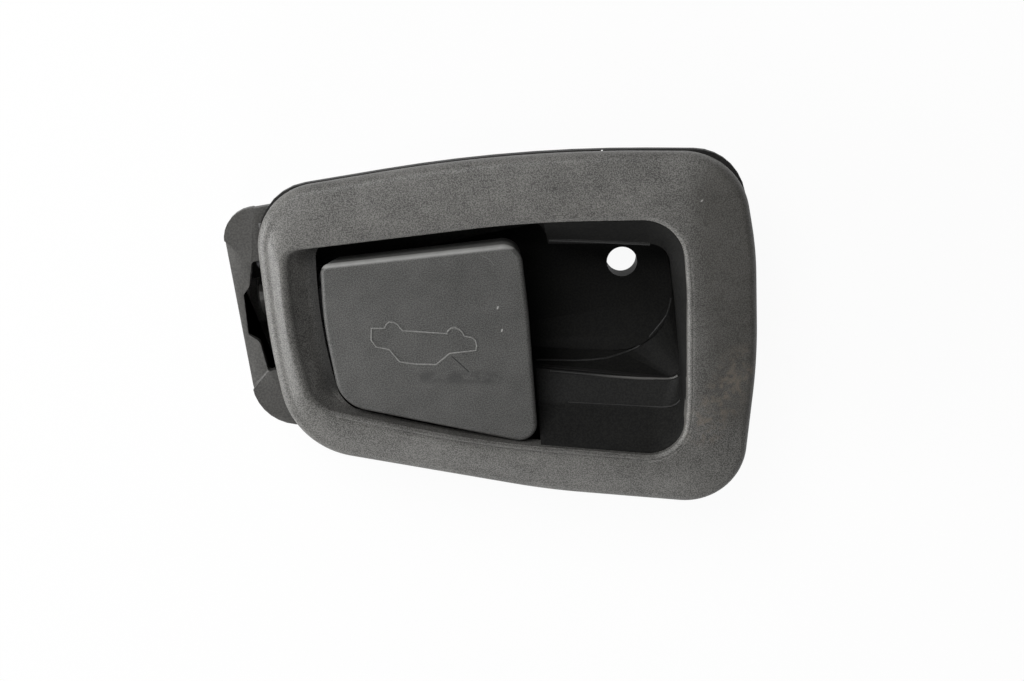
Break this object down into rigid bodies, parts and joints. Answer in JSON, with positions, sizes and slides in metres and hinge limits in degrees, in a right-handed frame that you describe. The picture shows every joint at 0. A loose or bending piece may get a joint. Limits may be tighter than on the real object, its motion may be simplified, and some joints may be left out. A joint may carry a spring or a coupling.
{
  "type": "car hood release handle",
  "caption": "Interior hood release handle: crowned plastic bezel round a finger pocket, with a hinged pull paddle and a rear cable anchor.",
  "frame": {"origin": "centre of the fixing screw hole on the rear seat", "axes": "+Z out of the front face, +Y along the hinge pin towards the tall side's upper corner, +X to the hinge and cable end; the part lies on its back on z = 0"},
  "size_m": [0.1328, 0.0989, 0.036],
  "materials": {
    "bezel_plastic": "fine spark-eroded grain",
    "housing_plastic": "plain moulded",
    "bracket_plastic": "plain moulded",
    "paddle_plastic": "fine spark-eroded grain",
    "lever_plastic": "glass-filled, plain moulded",
    "zinc_steel": "zinc plated",
    "pin_steel": "ground",
    "spring_steel": "drawn wire",
    "bush_plastic": "natural acetal",
    "bumper_rubber": "matt",
    "clip_steel": "phosphated"
  },
  "bodies": {
    "body": {"bezel": "bezel_plastic", "housing": "housing_plastic", "pocket_tub": "housing_plastic", "hinge_frame": "housing_plastic", "cable_bracket": "bracket_plastic", "bracket_screw_1": "zinc_steel", "bracket_screw_2": "zinc_steel", "pivot_pin": "pin_steel", "pin_ring": "spring_steel", "bush_1": "bush_plastic", "bush_2": "bush_plastic", "return_spring": "spring_steel", "rest_bumper": "bumper_rubber", "pull_bumper": "bumper_rubber", "panel_clip_1": "clip_steel", "panel_clip_2": "clip_steel"},
    "lever": {"paddle": "paddle_plastic", "lever": "lever_plastic", "paddle_screw_1": "zinc_steel", "paddle_screw_2": "zinc_steel"}
  },
  "joints": [
    {"name": "pull", "type": "hinge", "parent": "body", "child": "lever", "pos_m": [0.0805, 0, 0.025], "axis": [0, 1, 0], "range_deg": [0, 30], "stiffness_Nm_per_rad": 0.12, "springref_deg": -20.05, "deforming": ["return_spring"]}
  ]
}
